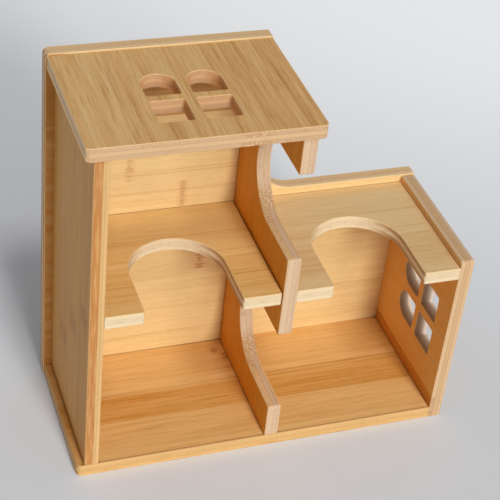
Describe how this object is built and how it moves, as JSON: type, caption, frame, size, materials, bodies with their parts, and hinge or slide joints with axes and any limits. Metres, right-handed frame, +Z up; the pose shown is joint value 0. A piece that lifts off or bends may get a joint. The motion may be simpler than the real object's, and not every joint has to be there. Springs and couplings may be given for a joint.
{
  "type": "hamster maze",
  "caption": "Two-storey bamboo hamster house with an open front, round-backed doorways between its rooms and storeys, and arched four-pane windows in roof and wall.",
  "frame": {"origin": "centre of the footprint, on the ground", "axes": "+X to the right seen from the open front, +Y to the back panel, +Z up"},
  "size_m": [0.2014, 0.0858, 0.1974],
  "materials": {
    "bamboo_board": "satin",
    "bamboo_pin": "matte"
  },
  "bodies": {
    "root": {"base_plate": "bamboo_board", "back_panel": "bamboo_board", "left_wall": "bamboo_board", "centre_divider": "bamboo_board", "right_wall": "bamboo_board", "left_shelf": "bamboo_board", "right_shelf": "bamboo_board", "roof": "bamboo_board", "left_wall_foot_pins": "bamboo_pin", "divider_foot_pins": "bamboo_pin", "right_wall_base_pins": "bamboo_pin", "left_wall_shelf_pins": "bamboo_pin", "right_wall_shelf_pins": "bamboo_pin", "left_wall_roof_pins": "bamboo_pin", "divider_roof_pins": "bamboo_pin", "base_back_pins": "bamboo_pin", "left_wall_back_pins": "bamboo_pin", "divider_back_pins": "bamboo_pin", "right_wall_back_pins": "bamboo_pin", "left_shelf_back_pins": "bamboo_pin", "right_shelf_back_pins": "bamboo_pin", "roof_back_pins": "bamboo_pin", "shelf_through_pins": "bamboo_pin"}
  },
  "joints": []
}
